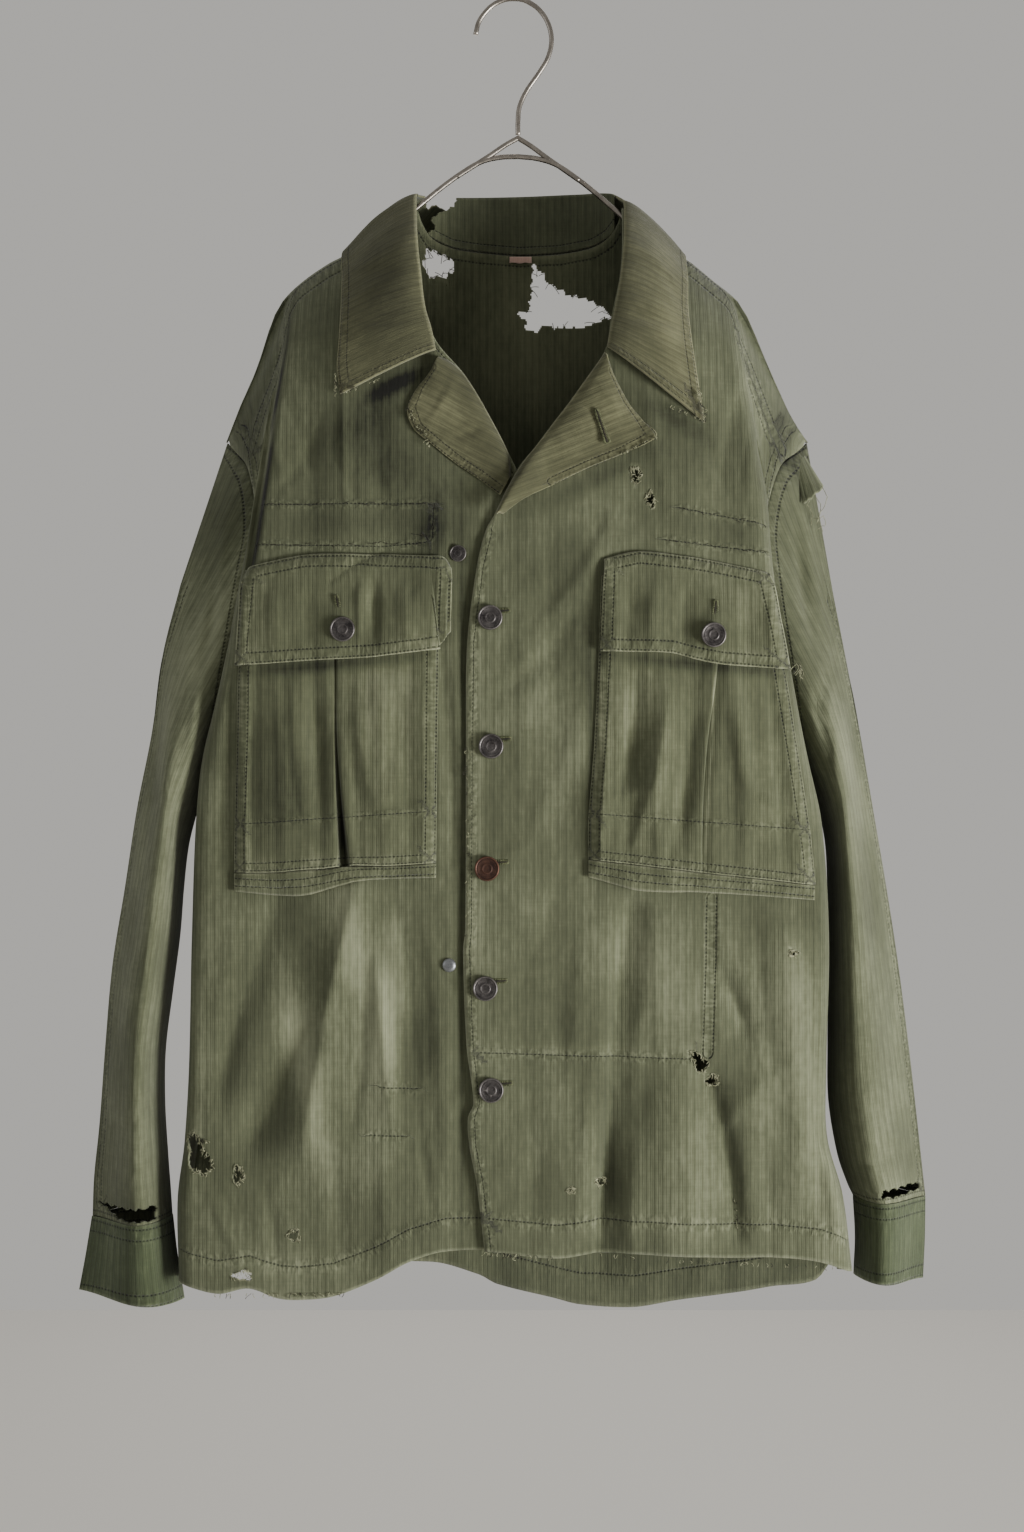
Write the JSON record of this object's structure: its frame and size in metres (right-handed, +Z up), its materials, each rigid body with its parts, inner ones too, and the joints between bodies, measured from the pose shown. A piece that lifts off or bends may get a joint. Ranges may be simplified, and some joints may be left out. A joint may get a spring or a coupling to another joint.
{
  "type": "field jacket",
  "caption": "Worn herringbone field jacket hanging open-necked on a wire hanger, with turned-out lapels, flapped chest pockets and long cuffed sleeves.",
  "frame": {"origin": "inner top of the hanger's hook, where a pin or a rail carries it", "axes": "+Z up, the jacket's front towards -Y, the wearer's left towards +X"},
  "size_m": [0.631, 0.121, 0.9935],
  "materials": {
    "twill": "faded olive herringbone cotton, matt",
    "twill_inside": "less faded inner face of the same cotton",
    "twill_cuff": "greener cotton of the cuffs",
    "label": "faded woven remnant with nothing on it",
    "button": "dark worn metal with a plain ring",
    "rivet": "dull grey dome",
    "wire": "drawn wire, satin"
  },
  "bodies": {
    "root": {"back": "twill_inside", "front_right": "twill", "front_left": "twill", "sleeve_right_front": "twill", "sleeve_right_back": "twill", "sleeve_left_front": "twill", "sleeve_left_back": "twill", "cuff_right": "twill_cuff", "cuff_left": "twill_cuff", "lapel_right": "twill", "lapel_left": "twill", "collar_leaf": "twill", "collar_stand": "twill_inside", "pocket_right": "twill", "pocket_band_right": "twill", "flap_right": "twill", "pocket_left": "twill", "pocket_band_left": "twill", "flap_left": "twill", "button_front_1": "button", "button_front_2": "button", "button_front_3": "button", "button_front_4": "button", "button_front_5": "button", "button_neck": "button", "button_flap_right": "button", "button_flap_left": "button", "rivet": "rivet", "hanger_hook": "wire", "hanger_frame": "wire", "label": "label"}
  },
  "joints": []
}
